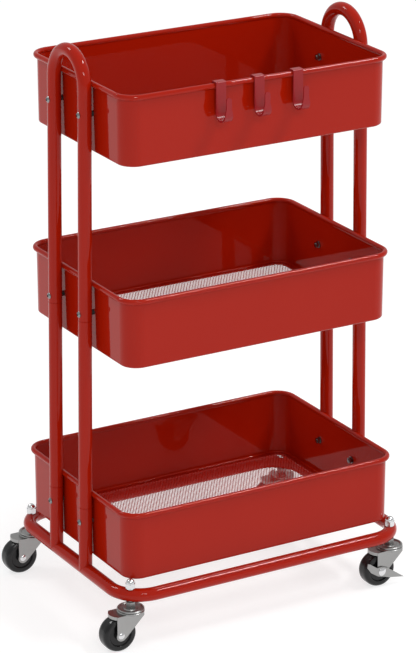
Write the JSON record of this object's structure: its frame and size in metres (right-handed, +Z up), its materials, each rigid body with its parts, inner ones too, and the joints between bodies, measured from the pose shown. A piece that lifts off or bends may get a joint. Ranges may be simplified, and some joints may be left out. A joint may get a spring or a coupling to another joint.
{
  "type": "rolling utility cart",
  "caption": "Tall three-tier utility cart with mesh-floored trays between tube end frames, a ring base on swivel casters, and sliding rim hooks.",
  "frame": {"origin": "on the floor, at the middle of the outer box with all four wheels trailing towards -X", "axes": "+X along the trays' long side, -Y towards the front (the side with the hooks), +Z up"},
  "size_m": [0.4934, 0.342, 0.8208],
  "materials": {
    "red_enamel": "gloss enamel",
    "mesh_enamel": "gloss enamel on fine expanded mesh",
    "hook_enamel": "satin enamel, slightly rosier red",
    "chrome": "bright plated",
    "zinc": "zinc plated, satin",
    "black_plastic": "matt",
    "wheel_plastic": "satin moulded"
  },
  "bodies": {
    "frame": {"top_tray": "red_enamel", "middle_tray": "red_enamel", "bottom_tray": "red_enamel", "top_mesh": "mesh_enamel", "middle_mesh": "mesh_enamel", "bottom_mesh": "mesh_enamel", "left_handle": "red_enamel", "right_handle": "red_enamel", "lower_tube_fl": "red_enamel", "lower_tube_fr": "red_enamel", "lower_tube_rl": "red_enamel", "lower_tube_rr": "red_enamel", "stub_tube_fl": "red_enamel", "stub_tube_fr": "red_enamel", "stub_tube_rl": "red_enamel", "stub_tube_rr": "red_enamel", "base_ring": "red_enamel", "top_screws": "chrome", "middle_screws": "chrome", "bottom_screws": "chrome", "top_spacers": "black_plastic", "middle_spacers": "black_plastic", "bottom_spacers": "black_plastic", "top_nuts": "chrome", "middle_nuts": "chrome", "bottom_nuts": "chrome", "stem_fl": "zinc", "stem_fr": "zinc", "stem_rl": "zinc", "stem_rr": "zinc", "acorn_fl": "chrome", "acorn_fr": "chrome", "acorn_rl": "chrome", "acorn_rr": "chrome"},
    "hook_left": {"hook_left": "hook_enamel"},
    "hook_middle": {"hook_middle": "hook_enamel"},
    "hook_right": {"hook_right": "hook_enamel"},
    "caster_fl": {"fork_fl": "zinc", "axle_fl": "chrome"},
    "wheel_fl": {"wheel_fl": "wheel_plastic"},
    "caster_fr": {"fork_fr": "zinc", "axle_fr": "chrome"},
    "wheel_fr": {"wheel_fr": "wheel_plastic"},
    "caster_rl": {"fork_rl": "zinc", "axle_rl": "chrome"},
    "wheel_rl": {"wheel_rl": "wheel_plastic"},
    "caster_rr": {"fork_rr": "zinc", "axle_rr": "chrome"},
    "wheel_rr": {"wheel_rr": "wheel_plastic"},
    "brake_fr": {"brake_fr": "zinc"},
    "brake_rr": {"brake_rr": "zinc"}
  },
  "joints": [
    {"name": "swivel_fl", "type": "hinge", "parent": "frame", "child": "caster_fl", "pos_m": [-0.20058, -0.14832, 0.056], "axis": [0, 0, 1], "continuous": true},
    {"name": "roll_fl", "type": "hinge", "parent": "caster_fl", "child": "wheel_fl", "pos_m": [-0.22188, -0.14832, 0.025], "axis": [0, 1, 0], "continuous": true},
    {"name": "swivel_fr", "type": "hinge", "parent": "frame", "child": "caster_fr", "pos_m": [0.22206, -0.14832, 0.056], "axis": [0, 0, 1], "continuous": true},
    {"name": "roll_fr", "type": "hinge", "parent": "caster_fr", "child": "wheel_fr", "pos_m": [0.20076, -0.14832, 0.025], "axis": [0, 1, 0], "continuous": true},
    {"name": "swivel_rl", "type": "hinge", "parent": "frame", "child": "caster_rl", "pos_m": [-0.20058, 0.14832, 0.056], "axis": [0, 0, 1], "continuous": true},
    {"name": "roll_rl", "type": "hinge", "parent": "caster_rl", "child": "wheel_rl", "pos_m": [-0.22188, 0.14832, 0.025], "axis": [0, 1, 0], "continuous": true},
    {"name": "swivel_rr", "type": "hinge", "parent": "frame", "child": "caster_rr", "pos_m": [0.22206, 0.14832, 0.056], "axis": [0, 0, 1], "continuous": true},
    {"name": "roll_rr", "type": "hinge", "parent": "caster_rr", "child": "wheel_rr", "pos_m": [0.20076, 0.14832, 0.025], "axis": [0, 1, 0], "continuous": true},
    {"name": "brake_lever_fr", "type": "hinge", "parent": "caster_fr", "child": "brake_fr", "pos_m": [0.20076, -0.16342, 0.025], "axis": [0, -1, 0], "range_deg": [0, 40]},
    {"name": "brake_lever_rr", "type": "hinge", "parent": "caster_rr", "child": "brake_rr", "pos_m": [0.20076, 0.13322, 0.025], "axis": [0, -1, 0], "range_deg": [0, 40]},
    {"name": "hook_left_slide", "type": "slide", "parent": "frame", "child": "hook_left", "axis": [1, 0, 0], "range_m": [-0.1, 0.02]},
    {"name": "hook_middle_slide", "type": "slide", "parent": "frame", "child": "hook_middle", "axis": [1, 0, 0], "range_m": [-0.022, 0.022]},
    {"name": "hook_right_slide", "type": "slide", "parent": "frame", "child": "hook_right", "axis": [1, 0, 0], "range_m": [-0.022, 0.11]}
  ]
}
